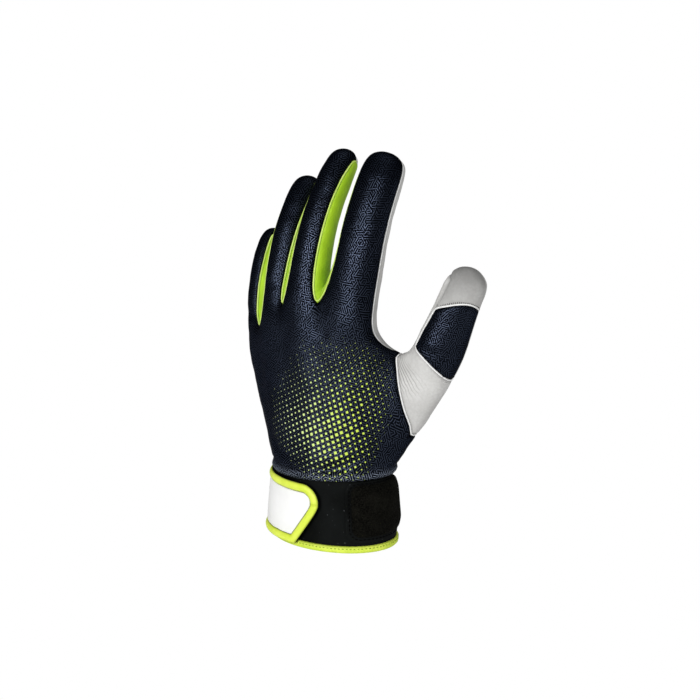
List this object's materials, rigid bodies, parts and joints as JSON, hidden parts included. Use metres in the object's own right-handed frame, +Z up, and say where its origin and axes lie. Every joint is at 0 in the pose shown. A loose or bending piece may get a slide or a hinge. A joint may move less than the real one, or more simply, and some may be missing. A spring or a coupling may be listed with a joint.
{
  "type": "padded catcher's inner glove",
  "caption": "Left-hand padded inner glove with a knit back, leather palm and thumb, finger gussets, a neoprene cuff with bound hem and a hook-and-loop wrist tab",
  "frame": {"origin": "middle of the bounding box at the level of the hem, on which the glove stands", "axes": "+Z up along the hand to the fingertips, -Y out of the back of the hand, +X to the thumb"},
  "size_m": [0.1548, 0.0634, 0.22],
  "materials": {
    "knit_navy": "printed stretch knit, matt",
    "leather_white": "soft full-grain glove leather, satin",
    "gusset_lime": "stretch knit, matt",
    "binding_lime": "folded binding tape, matt",
    "neoprene_black": "smooth-faced neoprene",
    "loop_pile": "brushed loop pile",
    "elastic_black": "woven elastic",
    "foam": "closed-cell impact foam",
    "lining_grey": "brushed tricot",
    "badge_white": "moulded soft rubber, satin",
    "hook_tape": "moulded nylon hooks"
  },
  "bodies": {
    "glove": {"back_panel": "knit_navy", "palm_panel": "leather_white", "fourchette_index_middle": "gusset_lime", "fourchette_middle_ring": "gusset_lime", "fourchette_ring_little": "gusset_lime", "thumb_panel": "leather_white", "thumb_knuckle_patch": "knit_navy", "thumb_tip_cap": "leather_white", "palm_pad": "foam", "index_pad": "foam", "thumb_pad": "foam", "palm_lining": "lining_grey", "cuff_band": "neoprene_black", "hem_binding": "binding_lime", "loop_landing": "loop_pile", "loop_patch": "loop_pile", "strap_anchor": "elastic_black"},
    "strap_web": {"strap_web": "elastic_black"},
    "strap_tab": {"tab_backing": "neoprene_black", "tab_badge": "badge_white", "tab_binding": "binding_lime", "hook_pad": "hook_tape"}
  },
  "joints": [
    {"name": "strap_swing", "type": "hinge", "parent": "glove", "child": "strap_web", "pos_m": [-0.02841, 0.02715, 0.02], "axis": [-0.0448, 0.0572, -0.9974], "range_deg": [0, 75]},
    {"name": "tab_peel", "type": "hinge", "parent": "strap_web", "child": "strap_tab", "pos_m": [-0.05036, -0.00033, 0.02], "axis": [-0.0931, -0.0034, -0.9957], "range_deg": [0, 110]}
  ]
}
